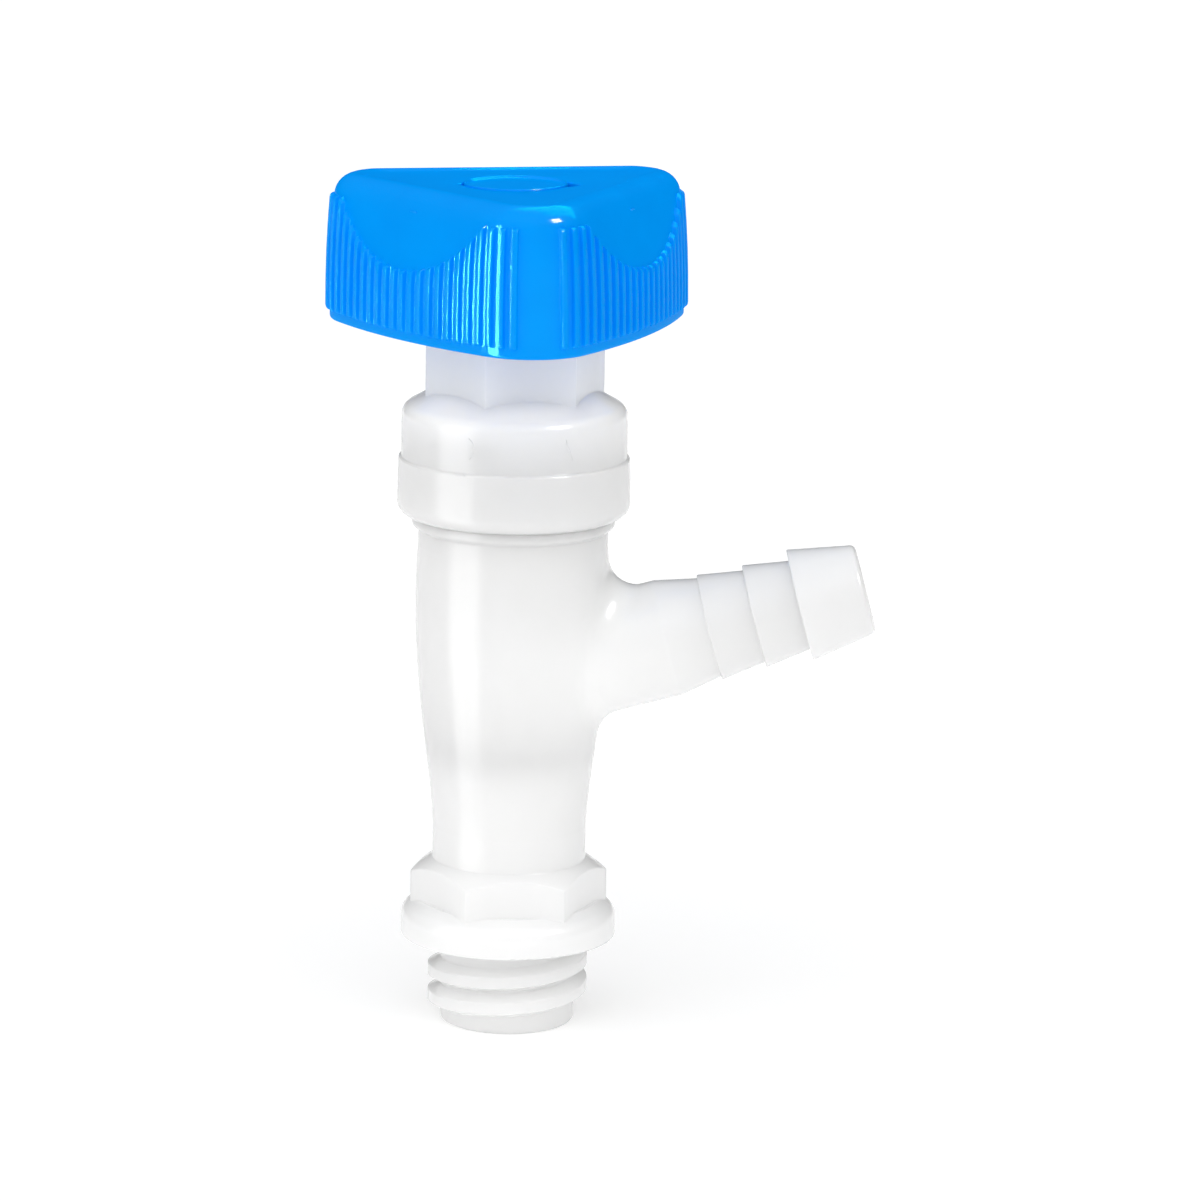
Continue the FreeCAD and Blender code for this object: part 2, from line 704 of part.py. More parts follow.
def make_handle_screw():
    """A pan-head screw with a cross recess, driven into the spindle."""
    low, high = FIXING_HEAD
    body = turned(
        [
            (0, FIXING_TIP),
            (FIXING_R / 3, FIXING_TIP),
            (FIXING_R, FIXING_TIP + 0.8 * FIXING_R),
            (FIXING_R, low),
            (FIXING_HEAD_R, low),
            (FIXING_HEAD_R, high, 3 * SOFT),
            (0, high),
        ]
    )
    half, reach, floor = FIXING_SLOT
    slots = [
        block((-reach, -half, floor), (reach, half, high + OVERLAP)),
        block((-half, -reach, floor), (half, reach, high + OVERLAP)),
    ]
    return body.cut(slots)


def make_handle_washer():
    return tube(WASHER_IN_R, WASHER_OUT_R, RECESS_FLOOR, RECESS_FLOOR + WASHER_THICK)


save(make_valve_body(), "valve_body")
save(make_bonnet(), "bonnet")
save(make_bonnet_gasket(), "bonnet_gasket")
gland_ring_r = (SHAFT_R + GLAND_R) / 2
save(ring(gland_ring_r, GLAND_RING_SECTION, WEB_TOP + GLAND_RINGS[0]), "gland_o_ring_lower")
save(ring(gland_ring_r, GLAND_RING_SECTION, WEB_TOP + GLAND_RINGS[1]), "gland_o_ring_upper")
save(make_gland_bush(), "gland_bush")
save(make_spindle(), "spindle")
save(make_valve_plug(), "valve_plug")
save(make_swivel_clip(), "swivel_clip")
save(make_seat_seal(), "seat_seal")
save(ring((RING_GROOVE_R + CHAMBER_R) / 2, PLUG_RING_SECTION, sum(RING_GROOVE) / 2), "plug_o_ring")
save(make_handle(), "handle")
save(make_handle_washer(), "handle_washer")
save(make_handle_screw(), "handle_screw")
save(make_handle_cap(), "handle_cap")
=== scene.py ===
import json
import math

import bpy
import numpy as np
from mathutils import Matrix, Vector


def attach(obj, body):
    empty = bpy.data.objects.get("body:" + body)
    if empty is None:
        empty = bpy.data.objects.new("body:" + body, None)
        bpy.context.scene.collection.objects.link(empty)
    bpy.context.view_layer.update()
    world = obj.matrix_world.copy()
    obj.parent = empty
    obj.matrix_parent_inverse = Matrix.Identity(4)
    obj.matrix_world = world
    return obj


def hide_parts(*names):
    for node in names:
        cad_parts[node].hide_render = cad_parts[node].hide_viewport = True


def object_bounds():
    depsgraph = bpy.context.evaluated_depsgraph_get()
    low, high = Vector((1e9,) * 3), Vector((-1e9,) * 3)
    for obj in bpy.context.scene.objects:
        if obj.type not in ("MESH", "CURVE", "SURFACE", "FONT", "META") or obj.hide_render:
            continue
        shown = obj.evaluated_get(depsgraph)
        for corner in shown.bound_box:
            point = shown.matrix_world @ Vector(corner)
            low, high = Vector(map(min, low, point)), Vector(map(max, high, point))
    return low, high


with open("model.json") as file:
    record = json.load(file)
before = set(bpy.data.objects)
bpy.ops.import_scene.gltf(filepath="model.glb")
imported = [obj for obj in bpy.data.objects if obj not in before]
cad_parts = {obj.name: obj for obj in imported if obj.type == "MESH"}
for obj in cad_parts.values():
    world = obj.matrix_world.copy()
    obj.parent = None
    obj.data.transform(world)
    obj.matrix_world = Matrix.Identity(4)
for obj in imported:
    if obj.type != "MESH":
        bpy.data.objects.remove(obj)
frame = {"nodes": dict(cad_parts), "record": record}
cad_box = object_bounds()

MM = 0.001

# Camera: a long lens a little above the tap, looking along +Y
CAMERA_AIM = (10.7 * MM, 0.0, 42.1 * MM)
CAMERA_DISTANCE = 649 * MM
CAMERA_ELEVATION = 12.4
CAMERA_ROLL = 1.0
CAMERA_LENS = 159.6
CAMERA_SENSOR = 36.0


# ---------------------------------------------------------------- node helpers
def new_material(name):
    mat = bpy.data.materials.new(name)
    mat.use_nodes = True
    tree = mat.node_tree
    shader = next(n for n in tree.nodes if n.type == "BSDF_PRINCIPLED")
    return mat, tree, shader


def add_node(tree, kind, **sockets):
    node = tree.nodes.new(kind)
    for name, value in sockets.items():
        node.inputs[name.replace("_", " ")].default_value = value
    return node


def noise(tree, scale, detail, stretch=None):
    """A noise in the object's own metres; stretch scales the point before it is read."""
    node = add_node(tree, "ShaderNodeTexNoise", Scale=scale, Detail=detail)
    point = tree.nodes.new("ShaderNodeTexCoord").outputs["Object"]
    if stretch:
        mapping = add_node(tree, "ShaderNodeMapping", Scale=stretch)
        tree.links.new(point, mapping.inputs["Vector"])
        point = mapping.outputs["Vector"]
    tree.links.new(point, node.inputs["Vector"])
    return node.outputs["Fac"]


def ramp(tree, factor, stops):
    """A colour ramp through (position, colour) stops."""
    node = tree.nodes.new("ShaderNodeValToRGB")
    elements = node.color_ramp.elements
    while len(elements) < len(stops):
        elements.new(0.5)
    for element, (position, colour) in zip(elements, stops):
        element.position = position
        element.color = (*colour, 1.0)
    tree.links.new(factor, node.inputs["Fac"])
    return node.outputs["Color"]


def remap(tree, value, low, high):
    """A noise, which mostly lies between 0.3 and 0.7, spread from low to high."""
    node = add_node(tree, "ShaderNodeMapRange", From_Min=0.3, From_Max=0.7, To_Min=low, To_Max=high)
    tree.links.new(value, node.inputs["Value"])
    return node.outputs["Result"]


def bump(tree, shader, height, depth, soft_edge=0.0):
    """Fine relief, and edges rounded by soft_edge metres in the shading."""
    node = add_node(tree, "ShaderNodeBump", Strength=1.0, Distance=depth)
    if soft_edge:
        edge = tree.nodes.new("ShaderNodeBevel")
        edge.samples = 6
        edge.inputs["Radius"].default_value = soft_edge
        tree.links.new(edge.outputs["Normal"], node.inputs["Normal"])
    tree.links.new(height, node.inputs["Height"])
    tree.links.new(node.outputs["Normal"], shader.inputs["Normal"])


def scatter_light(shader, weight, depth):
    """Light of every colour scatters inside, over about this depth."""
    shader.inputs["Subsurface Weight"].default_value = weight
    shader.inputs["Subsurface Radius"].default_value = (1.0, 1.0, 1.0)
    shader.inputs["Subsurface Scale"].default_value = depth


# ---------------------------------------------------------------- materials
def natural_plastic(name, light, dark, roughness, scatter):
    """Milky natural polyolefin: light scatters a few millimetres in, under a faintly waxy skin."""
    mat, tree, shader = new_material(name)
    clouds = noise(tree, 90.0, 3.0)
    colour = ramp(tree, clouds, [(0.35, dark), (0.65, light)])
    tree.links.new(colour, shader.inputs["Base Color"])
    scatter_light(shader, scatter, 6.0 * MM)
    shader.inputs["IOR"].default_value = 1.5
    fine = noise(tree, 900.0, 4.0)
    tree.links.new(remap(tree, fine, roughness - 0.03, roughness + 0.05), shader.inputs["Roughness"])
    bump(tree, shader, noise(tree, 260.0, 3.0), 0.03 * MM, soft_edge=0.3 * MM)
    return mat


def blue_plastic(name):
    """Opaque azure polypropylene: its weak coat gives the gloss, which stays low at grazing angles."""
    mat, tree, shader = new_material(name)
    clouds = noise(tree, 120.0, 3.0)
    colour = ramp(tree, clouds, [(0.3, (0.0, 0.315, 0.97)), (0.7, (0.0, 0.335, 1.0))])
    tree.links.new(colour, shader.inputs["Base Color"])
    shader.inputs["IOR"].default_value = 1.49
    shader.inputs["Specular IOR Level"].default_value = 0.0
    shader.inputs["Coat Weight"].default_value = 0.1
    shader.inputs["Coat Roughness"].default_value = 0.1
    fine = noise(tree, 1400.0, 4.0)
    tree.links.new(remap(tree, fine, 0.14, 0.2), shader.inputs["Roughness"])
    skin = tree.nodes.new("ShaderNodeMath")
    skin.operation = "MULTIPLY_ADD"
    skin.inputs[1].default_value = 0.4
    tree.links.new(noise(tree, 6500.0, 1.0), skin.inputs[0])
    tree.links.new(noise(tree, 500.0, 2.0), skin.inputs[2])
    bump(tree, shader, skin.outputs["Value"], 0.004 * MM)
    tree.links.new(shader.inputs["Normal"].links[0].from_socket, shader.inputs["Coat Normal"])
    return mat


def rubber(name):
    mat, tree, shader = new_material(name)
    dark, light = (0.02, 0.02, 0.02), (0.045, 0.045, 0.045)
    colour = ramp(tree, noise(tree, 500.0, 3.0), [(0.3, dark), (0.7, light)])
    tree.links.new(colour, shader.inputs["Base Color"])
    tree.links.new(remap(tree, noise(tree, 1500.0, 4.0), 0.5, 0.7), shader.inputs["Roughness"])
    bump(tree, shader, noise(tree, 1800.0, 3.0), 0.02 * MM)
    return mat


def acetal(name):
    mat, tree, shader = new_material(name)
    dark, light = (0.84, 0.84, 0.83), (0.9, 0.9, 0.89)
    colour = ramp(tree, noise(tree, 400.0, 3.0), [(0.3, dark), (0.7, light)])
    tree.links.new(colour, shader.inputs["Base Color"])
    scatter_light(shader, 0.2, 0.6 * MM)
    tree.links.new(remap(tree, noise(tree, 1500.0, 4.0), 0.22, 0.32), shader.inputs["Roughness"])
    bump(tree, shader, noise(tree, 2200.0, 3.0), 0.008 * MM)
    return mat


def stainless(name):
    mat, tree, shader = new_material(name)
    shader.inputs["Metallic"].default_value = 1.0
    dark, light = (0.5, 0.5, 0.49), (0.62, 0.61, 0.6)
    colour = ramp(tree, noise(tree, 800.0, 4.0), [(0.3, dark), (0.7, light)])
    tree.links.new(colour, shader.inputs["Base Color"])
    lines = noise(tree, 3000.0, 2.0, stretch=(1.0, 1.0, 0.05))
    tree.links.new(remap(tree, lines, 0.22, 0.38), shader.inputs["Roughness"])
    bump(tree, shader, lines, 0.004 * MM)
    return mat


# ---------------------------------------------------------------- handle
# In millimetres. Three lobes: corner arcs joined by bulging sides, with the outline of the ribs'
# crests measured at OUTLINE_Z.
LOBE_R = 24.4
LOBE_ROUND = 8.2
SIDE_ROUND = 77.75
LOBE_TURN = 37.9
CORNER_X = (LOBE_R - LOBE_ROUND) * math.cos(math.pi / 3)
CORNER_Y = (LOBE_R - LOBE_ROUND) * math.sin(math.pi / 3)
SIDE_BACK = math.sqrt((SIDE_ROUND - LOBE_ROUND) ** 2 - CORNER_Y**2) - CORNER_X
SIDE_SPAN = math.atan2(CORNER_Y, CORNER_X + SIDE_BACK)
SIDE_ARC = SIDE_ROUND * SIDE_SPAN
HALF_SIDE = SIDE_ARC + LOBE_ROUND * (math.pi / 3 - SIDE_SPAN)
HANDLE_BOTTOM = 75.6
HANDLE_TOP = 93.4
RIB_COUNT = 24
RIB_PITCH = 1.7
RIB_HEIGHT = 0.55
RIB_FOOT = 76.85
RIB_FOOT_LENGTH = 0.45
RIB_END_LENGTH = 0.5
RIB_TOP = 91.0
OUTLINE_Z = 79.4
FOOT_ROUND = 0.55
BLEND = 0.5
SCALLOP_R = 19.0
SCALLOP_Z = 103.2
FACET_Z = 84.2
FACET_LEAN = math.tan(math.radians(15.5))
TOP_ROUND = 2.4
TOP_SINK = 0.35
RECESS_R = 6.35
RECESS_FLOOR = 89.5
HUB_R = 8.2
HUB_BOTTOM = 82.0
BORE_R = 4.12
CEILING = 90.6
HANDLE_WALL = 2.2
WEB_HALF_WIDTH = 0.7
# Half a rib's section, as (arc position, share of the rib's height) from its foot to its crest
RIB_PROFILE = [
    (-0.85, 0.0), (-0.52, 0.0), (-0.45, 0.07), (-0.41, 0.22), (-0.38, 0.8), (-0.34, 0.95), (-0.27, 1.0),
]
# The cap's section, as (radius, height above the sunk middle of the handle's top)
CAP_PROFILE = [
    (0.001, -0.06), (1.5, -0.06), (3.0, -0.08), (4.5, -0.12), (5.4, -0.14), (5.7, -0.1),
    (5.85, 0.02), (5.98, 0.16), (6.1, 0.2), (6.2, 0.16), (6.26, 0.05), (6.28, -0.2),
    (6.28, -1.0), (6.2, -1.1), (6.1, -2.8), (5.3, -2.8), (5.25, -1.2), (3.0, -1.15), (0.001, -1.15),
]
LEAN = math.radians(-0.5)
LEAN_PIVOT = Vector((0, 0, 62.0 * MM))


def column_arcs():
    """Arc positions of the grid's columns along one side, with each rib's share of its height."""
    profile = RIB_PROFILE + [(-x, h) for x, h in reversed(RIB_PROFILE[1:])]
    arcs = []
    for k in range(RIB_COUNT):
        centre = (k - (RIB_COUNT - 1) / 2) * RIB_PITCH
        arcs += [(centre + x, h) for x, h in profile]
    end = arcs[-1][0] + 0.29
    panel = np.linspace(end, 2 * HALF_SIDE - end, 13)
    first = arcs[0][0]
    arcs += [(x, 0.0) for x in panel if x < first + 2 * HALF_SIDE - 0.05]
    return np.array(arcs)


def side_frame(arc):
    """Where an arc length from a side's middle lies: its angle, arc centre, arc radius and sign."""
    a = np.abs(arc)
    on_side = a <= SIDE_ARC
    angle = np.where(on_side, a / SIDE_ROUND, SIDE_SPAN + (a - SIDE_ARC) / LOBE_ROUND)
    centre_x = np.where(on_side, -SIDE_BACK, CORNER_X)
    centre_y = np.where(on_side, 0.0, CORNER_Y)
    radius = np.where(on_side, SIDE_ROUND, LOBE_ROUND)
    return angle, centre_x, centre_y, radius, np.sign(arc)


def crest_lean(z):
    """How far the ribs' crests stand outside the outline at a level: the wall curves in upward."""
    rise = z - OUTLINE_Z
    return -0.011 * rise - 0.0034 * np.where(rise > 0, rise, 0) ** 2


def facet_offset(arc, z):
    """The offset from the outline of the plane that slices each side above the scallop."""
    angle, centre_x, _, radius, _ = side_frame(arc)
    at_middle = SIDE_ROUND - SIDE_BACK + crest_lean(np.asarray(FACET_Z)) - RIB_HEIGHT
    plane = at_middle - (z - FACET_Z) * FACET_LEAN
    return (plane - centre_x) / np.cos(angle) - radius


def smooth_least(a, b):
    """The lesser of two values, with the change from one to the other rounded off."""
    h = np.clip(0.5 + 0.5 * (b - a) / BLEND, 0, 1)
    return b * (1 - h) + a * h - BLEND * h * (1 - h)


def outline(side, arc, offset):
    """Points outside the outline by an offset, on a side counted from 0, where 3 is side 0 again."""
    angle, centre_x, centre_y, radius, sign = side_frame(arc)
    x = centre_x + (radius + offset) * np.cos(angle)
    y = (centre_y + (radius + offset) * np.sin(angle)) * sign
    turn = math.radians(LOBE_TURN + 60 + 120 * side)
    return x * math.cos(turn) - y * math.sin(turn), x * math.sin(turn) + y * math.cos(turn)


def scallop_level(arc):
    """The level at which the ribs end: a circle over each side's middle, capped near the corners."""
    a = np.minimum(np.abs(arc), SCALLOP_R - 0.01)
    return smooth_least(SCALLOP_Z - np.sqrt(SCALLOP_R**2 - a**2), np.full_like(a, RIB_TOP))


def wall_rows(arc, rib):
    """Offset and height of each column of the outer wall, from its foot to the edge of the top."""
    edge_start = HANDLE_TOP - TOP_ROUND

    def core(z):
        return smooth_least(crest_lean(z) - RIB_HEIGHT, facet_offset(arc, z))

    def ribbed(z, share):
        return core(z) + (crest_lean(z) - core(z)) * rib * share

    def rounded(z):
        into = np.clip(z - edge_start, 0, TOP_ROUND)
        return core(z) - (TOP_ROUND - np.sqrt(TOP_ROUND**2 - into**2))

    rows = []
    for t in np.linspace(0, 1, 6):
        angle = t * math.pi / 2
        z = np.full_like(arc, HANDLE_BOTTOM + FOOT_ROUND * (1 - math.cos(angle)))
        rows.append((core(z) - FOOT_ROUND * (1 - math.sin(angle)), z))
    for t in (0.0, 0.04, 0.15, 0.34, 0.62, 1.0):
        z = np.full_like(arc, RIB_FOOT + t * RIB_FOOT_LENGTH)
        rows.append((ribbed(z, math.sqrt(1 - (1 - t) ** 2)), z))
    top = scallop_level(arc)
    low = RIB_FOOT + RIB_FOOT_LENGTH
    for t in (0.25, 0.5, 0.75):
        z = low + (top - RIB_END_LENGTH - low) * t
        rows.append((ribbed(z, 1.0), z))
    for t in (0.0, 0.4, 0.65, 0.82, 0.93, 0.985):
        z = top - RIB_END_LENGTH * (1 - t)
        rows.append((ribbed(z, math.sqrt(1 - t**2)), z))
    # the ribs end here: the wall above them is even, and near the corners it is already rounding over
    rows.append((rounded(top), top))
    for t in (0.12, 0.28, 0.46, 0.64, 0.82, 1.0):
        z = top + (np.maximum(edge_start + 0.9, top) - top) * t
        rows.append((rounded(z), z))
    sweep = np.arcsin(np.clip((rows[-1][1] - edge_start) / TOP_ROUND, 0, 1))
    for t in (0.16, 0.32, 0.48, 0.64, 0.8, 0.92, 1.0):
        angle = sweep + (math.pi / 2 - sweep) * t
        z = edge_start + TOP_ROUND * np.sin(angle)
        rows.append((core(z) - TOP_ROUND * (1 - np.cos(angle)), z))
    return rows


def handle_rings():
    """Closed rings round the handle, from the wall's foot up the outside and back down the inside."""
    table = column_arcs()
    arc = table[:, 0].copy()
    rib = table[:, 1]
    side_of = (arc > HALF_SIDE).astype(int)
    arc[side_of == 1] -= 2 * HALF_SIDE

    def ring_of(offset, z):
        xs, ys, zs = [], [], []
        for side in range(3):
            for step in (0, 1):
                pick = side_of == step
                x, y = outline(side + step, arc[pick], offset[pick])
                xs.append(x)
                ys.append(y)
                zs.append(z[pick])
        return np.stack([np.concatenate(xs), np.concatenate(ys), np.concatenate(zs)], axis=1)

    rings = [ring_of(offset, z) for offset, z in wall_rows(arc, rib)]
    edge = rings[-1]
    polar = np.arctan2(edge[:, 1], edge[:, 0])

    def near(angle, width):
        apart = np.abs((polar - math.radians(angle) + math.pi) % (2 * math.pi) - math.pi)
        return np.clip(1 - apart / width, 0, 1)

    # two pry notches beside the cap
    notch = 1.5 * near(-4, 0.32) ** 0.8 + 0.5 * near(-172, 0.14)

    def circle(radius, z, notched=0.0):
        r = radius + notch * notched
        return np.stack([r * np.cos(polar), r * np.sin(polar), np.full_like(polar, z)], axis=1)

    lip = circle(RECESS_R + 0.3, HANDLE_TOP, 1.0)
    dish = ((0.03, 0.12), (0.08, 0.5), (0.14, 0.8), (0.25, 0.97), (0.5, 1.0), (0.8, 1.0), (1.0, 1.0))
    for t, sink in dish:
        middle = edge * (1 - t) + lip * t
        middle[:, 2] = HANDLE_TOP - TOP_SINK * sink
        rings.append(middle)
    for radius, z in (
        (RECESS_R + 0.12, HANDLE_TOP - TOP_SINK - 0.04),
        (RECESS_R + 0.02, HANDLE_TOP - TOP_SINK - 0.16),
        (RECESS_R, HANDLE_TOP - TOP_SINK - 0.4),
        (RECESS_R, RECESS_FLOOR + 1.3),
    ):
        rings.append(circle(radius, z, 1.0))
    for radius, z in (
        (RECESS_R, RECESS_FLOOR + 0.1),
        (RECESS_R - 0.1, RECESS_FLOOR),
        (BORE_R + 0.1, RECESS_FLOOR),
        (BORE_R, RECESS_FLOOR - 0.1),
        (BORE_R, HUB_BOTTOM + 0.3),
        (BORE_R + 0.3, HUB_BOTTOM),
        (HUB_R - 0.3, HUB_BOTTOM),
        (HUB_R, HUB_BOTTOM + 0.3),
        (HUB_R + 0.05, CEILING - 0.5),
        (HUB_R + 0.55, CEILING),
    ):
        rings.append(circle(radius, z))
    flat = np.zeros_like(arc)

    def inside(z, back):
        """A ring on the wall's inner face, brought in by a distance."""
        side = crest_lean(np.full_like(arc, z)) - RIB_HEIGHT - HANDLE_WALL
        facet = facet_offset(arc, flat + z) - HANDLE_WALL
        return ring_of(np.minimum(side, facet) - back, flat + z)

    hub_side = rings[-1]
    ceiling_edge = inside(CEILING, 0.6)
    for t in (0.33, 0.66, 1.0):
        rings.append(hub_side * (1 - t) + ceiling_edge * t)
    rings.append(inside(CEILING - 0.18, 0.18))
    for z in (CEILING - 0.6, 86.0, 81.0, HANDLE_BOTTOM + 0.25):
        rings.append(inside(z, 0.0))
    rings.append(inside(HANDLE_BOTTOM, -0.25))
    return rings


def add_object(name, mesh, material):
    mesh.materials.append(material)
    obj = bpy.data.objects.new(name, mesh)
    bpy.context.collection.objects.link(obj)
    return obj


def grid_object(name, rings, material, closed=True):
    """A mesh from rings of equal length, smooth but for its sharp bends. Open ends are capped."""
    rows, cols = len(rings), len(rings[0])
    points = np.concatenate(rings) * MM
    i = np.arange(cols)
    ahead = (i + 1) % cols
    faces = []
    for row in range(rows if closed else rows - 1):
        a = row * cols
        b = ((row + 1) % rows) * cols
        faces.append(np.stack([a + i, a + ahead, b + ahead, b + i], axis=1))
    faces = np.concatenate(faces).tolist()
    if not closed:
        faces += [i[::-1].tolist(), (i + (rows - 1) * cols).tolist()]
    mesh = bpy.data.meshes.new(name)
    mesh.from_pydata(points.tolist(), [], faces)
    mesh.update()
    mesh.shade_smooth()
    mesh.set_sharp_from_angle(angle=math.radians(48.0))
    return add_object(name, mesh, material)


def lean_over(obj):
    """The spindle has play in its thread, so what it carries stands a little off upright."""
    there, back = Matrix.Translation(LEAN_PIVOT), Matrix.Translation(-LEAN_PIVOT)
    obj.data.transform(there @ Matrix.Rotation(LEAN, 4, "Y") @ back)


def box_object(name, low, high, turn, material):
    """A box between two corners, turned about Z."""
    xs, ys, zs = zip(low, high)
    corners = [(x, y, z) for z in zs for y in ys for x in xs]
    c, s = math.cos(turn), math.sin(turn)
    points = [((x * c - y * s) * MM, (x * s + y * c) * MM, z * MM) for x, y, z in corners]
    faces = [(0, 2, 3, 1), (4, 5, 7, 6), (0, 1, 5, 4), (2, 6, 7, 3), (0, 4, 6, 2), (1, 3, 7, 5)]
    mesh = bpy.data.meshes.new(name)
    mesh.from_pydata(points, [], faces)
    return add_object(name, mesh, material)


def turned_rings(points):
    """Rings for grid_object from a closed (radius, height) outline turned about Z."""
    angle = np.linspace(0, 2 * math.pi, 160, endpoint=False)
    return [
        np.stack([r * np.cos(angle), r * np.sin(angle), np.full_like(angle, z)], axis=1)
        for r, z in points
    ]


def make_handle(material):
    """The ribbed shell with its six webs, and the cap. The longer webs run into the lobes."""
    shell = grid_object("handle_shell", handle_rings(), material)
    parts = [shell]
    for i in range(6):
        reach, top = (21.0, CEILING - 0.6) if i % 2 == 0 else (15.2, CEILING + 0.4)
        low, high = (HUB_R - 0.3, -WEB_HALF_WIDTH, HUB_BOTTOM), (reach, WEB_HALF_WIDTH, top)
        parts.append(box_object("handle_web", low, high, math.radians(LOBE_TURN + 60 * i), material))
    middle = HANDLE_TOP - TOP_SINK
    cap_points = [(radius, middle + rise) for radius, rise in reversed(CAP_PROFILE)]
    cap = grid_object("handle_cap_disc", turned_rings(cap_points), material)
    with bpy.context.temp_override(active_object=shell, selected_editable_objects=parts):
        bpy.ops.object.join()
    for obj in (shell, cap):
        lean_over(obj)
        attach(obj, "spindle")
    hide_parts("handle")
    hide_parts("handle_cap")
    return [shell, cap]


# ---------------------------------------------------------------- mould marks
# Slivers of flash on the bonnet's skirt: a name, the skirt's radius, and the (azimuth, height) stops
# along each. Azimuth 0 faces the camera.
MARKS = (
    (
        "mould_mark_left", 13.72,
        [(-22.5, 64.3), (-20.5, 63.8), (-19.6, 63.0), (-20.3, 62.2), (-22.0, 61.7)],
    ),
    ("mould_mark_right", 13.72, [(27.6, 64.2), (28.4, 63.4), (29.8, 62.6), (31.6, 61.6)]),
    ("mould_mark_ring", 14.02, [(-29.0, 59.7), (-25.5, 59.62), (-22.5, 59.7)]),
)
# A sliver's section where it is widest, as (sideways, outward)
MARK_SECTION = ((-0.2, -0.08), (-0.12, -0.01), (0.0, 0.035), (0.12, -0.01), (0.2, -0.08))


def make_marks(material):
    for name, radius, stops in MARKS:
        share = np.linspace(0, len(stops) - 1, 4 * len(stops) - 3)
        azimuth = np.interp(share, range(len(stops)), [stop[0] for stop in stops])
        height = np.interp(share, range(len(stops)), [stop[1] for stop in stops])
        angle = np.radians(azimuth - 90.0)
        out = np.stack([np.cos(angle), np.sin(angle), np.zeros_like(angle)], axis=1)
        path = out * radius + np.outer(height, (0.0, 0.0, 1.0))
        ahead = np.gradient(path, axis=0)
        side = np.cross(ahead / np.linalg.norm(ahead, axis=1)[:, None], out)
        swell = np.sin(np.linspace(0.06, 0.94, len(path)) * math.pi)[:, None]
        section = [path + (out * rise + side * wide) * swell for wide, rise in MARK_SECTION]
        mark = grid_object(name, list(np.stack(section, axis=1)), material, closed=False)
        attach(mark, "tap_body")


# ---------------------------------------------------------------- stage
# Powers in watts
SOFTBOX_LEFT = 0.044
SOFTBOX_RIGHT = 4.6
HANDLE_LEFT = 1.7
HANDLE_RIGHT = 36.0
HANDLE_BACK = 16.0
FILL_TOP = 1.15
FILL_FRONT = 1.9
GLOW_INSIDE = 0.0006
# Azimuth, elevation and distance from the tap
LEFT_PLACE = (-55.0, 0.0, 0.07)
RIGHT_PLACE = (55.0, 41.0, 0.7)
BACK_PLACE = (138.0, 58.0, 0.5)
SOFTBOX_AIM = 45 * MM
# The sky's even level, and how much brighter it is to the front, to the left and overhead
SKY = (0.10, 0.55, 0.08, 1.2)
SKY_LEAST = 0.04
FLOOR_GLOW = 0.22
FLOOR_SIZE = 6.0


def make_world():
    """A soft sky, brightest overhead and on the camera's side, and a little brighter to the left."""
    level, front, left, up = SKY
    world = bpy.data.worlds.new("studio")
    world.use_nodes = True
    tree = world.node_tree
    way = tree.nodes.new("ShaderNodeTexCoord").outputs["Generated"]
    dot = tree.nodes.new("ShaderNodeVectorMath")
    dot.operation = "DOT_PRODUCT"
    dot.inputs[1].default_value = (-left, -front, up)
    tree.links.new(way, dot.inputs[0])
    total = tree.nodes.new("ShaderNodeMath")
    total.operation = "ADD"
    total.inputs[1].default_value = level
    tree.links.new(dot.outputs["Value"], total.inputs[0])
    least = tree.nodes.new("ShaderNodeMath")
    least.operation = "MAXIMUM"
    least.inputs[1].default_value = SKY_LEAST
    tree.links.new(total.outputs["Value"], least.inputs[0])
    tree.links.new(least.outputs["Value"], tree.nodes["Background"].inputs["Strength"])
    tree.nodes["Background"].inputs["Color"].default_value = (1.0, 1.0, 1.0, 1.0)
    bpy.context.scene.world = world


def add_light(kind, name, azimuth, elevation, distance, aim, power):
    """A light aimed at a height on the tap. Azimuth 0 is the camera's side, positive to its right."""
    data = bpy.data.lights.new(name, kind)
    data.energy = power
    light = bpy.data.objects.new(name, data)
    bpy.context.collection.objects.link(light)
    a = math.radians(azimuth)
    e = math.radians(elevation)
    way = Vector((math.sin(a) * math.cos(e), -math.cos(a) * math.cos(e), math.sin(e)))
    light.location = Vector((0, 0, aim)) + way * distance
    light.rotation_euler = way.to_track_quat("Z", "Y").to_euler()
    light.visible_camera = False
    return light


def shine_on(light, objects):
    """Limits a light to a few objects, and returns the collection that holds them."""
    lit = bpy.data.collections.new(light.name + "_lit")
    for obj in objects:
        lit.objects.link(obj)
    light.light_linking.receiver_collection = lit
    return lit


def add_softbox(name, place, size, power, objects, colour=(1, 1, 1)):
    """A softbox that shows in the gloss of some objects only; the sky does the even lighting."""
    light = add_light("AREA", name, *place, SOFTBOX_AIM, power)
    light.data.shape = "RECTANGLE"
    light.data.size, light.data.size_y = size
    light.data.color = colour
    light.visible_diffuse = False
    light.visible_transmission = False
    shine_on(light, objects)


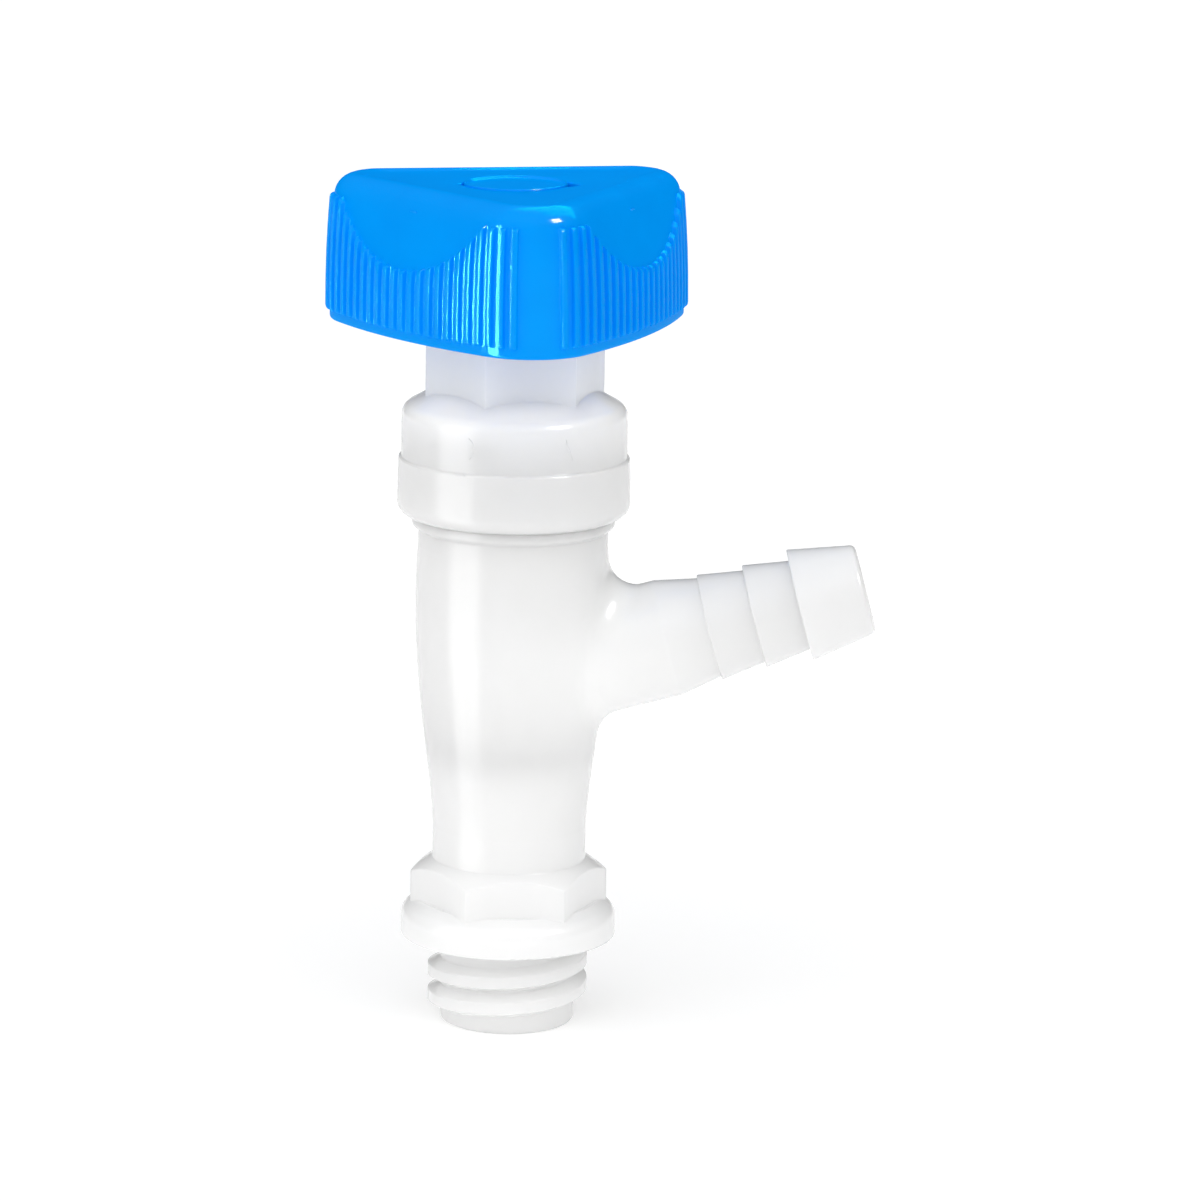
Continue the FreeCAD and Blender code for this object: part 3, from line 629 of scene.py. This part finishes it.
def make_lights(handle):
    body, bonnet, bush = (frame["nodes"][node] for node in ("valve_body", "bonnet", "gland_bush"))
    milky = [body, bonnet, bush]
    cyan, full_cyan = (0.16, 1, 1), (0.0, 1, 1)
    add_softbox("softbox_left", LEFT_PLACE, (0.047, 0.11), SOFTBOX_LEFT, milky)
    add_softbox("softbox_right", RIGHT_PLACE, (0.15, 0.15), SOFTBOX_RIGHT, milky)
    add_softbox("softbox_left_handle", LEFT_PLACE, (0.022, 0.11), HANDLE_LEFT, handle, cyan)
    add_softbox("softbox_right_handle", RIGHT_PLACE, (0.2, 0.2), HANDLE_RIGHT, handle)
    add_softbox("softbox_back_handle", BACK_PLACE, (0.5, 0.45), HANDLE_BACK, handle, full_cyan)
    top = add_light("AREA", "fill_under_handle", 0.0, 90.0, 0.5, 45 * MM, FILL_TOP)
    top.data.size = 0.1
    top.data.color = (1.0, 0.88, 0.6)
    front = add_light("SPOT", "fill_front", -4.0, 18.0, 0.5, 48 * MM, FILL_FRONT)
    front.data.color = (1.0, 0.97, 0.9)
    front.data.spot_size = math.radians(7.5)
    front.data.spot_blend = 1.0
    front.data.shadow_soft_size = 0.05
    # nothing but the pieces that a fill lights casts a shadow in it
    for light, lit in ((top, [bonnet]), (front, [body, bonnet])):
        light.visible_glossy = False
        light.light_linking.blocker_collection = shine_on(light, lit)
    # daylight that reaches the valve chamber through its milky wall
    inside = add_light("POINT", "glow_inside", 90.0, 0.0, 6 * MM, 33.5 * MM, GLOW_INSIDE)
    inside.data.shadow_soft_size = 1 * MM
    inside.visible_glossy = False


def make_stage():
    bpy.ops.mesh.primitive_plane_add(size=FLOOR_SIZE, location=(0, 0, cad_box[0].z))
    floor = bpy.context.object
    floor.name = "floor"
    mat, tree, shader = new_material("floor_white")
    shader.inputs["Base Color"].default_value = (0.93, 0.93, 0.93, 1)
    shader.inputs["Roughness"].default_value = 0.9
    shader.inputs["Specular IOR Level"].default_value = 0.1
    shader.inputs["Emission Color"].default_value = (1, 1, 1, 1)
    shader.inputs["Emission Strength"].default_value = FLOOR_GLOW
    floor.data.materials.append(mat)
    make_world()
    bpy.context.scene.view_settings.view_transform = "Standard"


def make_camera():
    data = bpy.data.cameras.new("camera")
    data.lens = CAMERA_LENS
    data.sensor_width = CAMERA_SENSOR
    data.clip_start = 0.05
    data.clip_end = 20.0
    camera = bpy.data.objects.new("camera", data)
    bpy.context.collection.objects.link(camera)
    e = math.radians(CAMERA_ELEVATION)
    r = math.radians(CAMERA_ROLL)
    back = Vector((0, -math.cos(e), math.sin(e)))
    up = Vector((0, math.sin(e), math.cos(e))) * math.cos(r) - Vector((math.sin(r), 0, 0))
    right = up.cross(back)
    place = Matrix((right, up, back)).transposed().to_4x4()
    place.translation = Vector(CAMERA_AIM) + back * CAMERA_DISTANCE
    camera.matrix_world = place
    bpy.context.scene.camera = camera


def paint_cad_nodes():
    """Gives every CAD node the material of its slot, and returns the materials by slot."""
    finish = {
        "natural_polyethylene": natural_plastic(
            "natural_polyethylene", (0.93, 0.93, 0.925), (0.91, 0.91, 0.905), 0.2, 0.9
        ),
        "natural_polypropylene": natural_plastic(
            "natural_polypropylene", (0.86, 0.87, 0.86), (0.80, 0.81, 0.80), 0.22, 0.7
        ),
        "blue_plastic": blue_plastic("azure_polypropylene"),
        "black_rubber": rubber("nitrile_rubber"),
        "white_acetal": acetal("white_acetal"),
        "stainless_steel": stainless("stainless_steel"),
    }
    for part in frame["record"]["subparts"]:
        mesh = frame["nodes"][part["node"]].data
        mesh.materials.clear()
        mesh.materials.append(finish[part["material_slot"]])
    return finish


make_camera()
make_stage()
finishes = paint_cad_nodes()
flash = natural_plastic("mould_flash", (0.95, 0.95, 0.945), (0.93, 0.93, 0.925), 0.2, 0.0)
make_marks(flash)
make_lights(make_handle(finishes["blue_plastic"]))
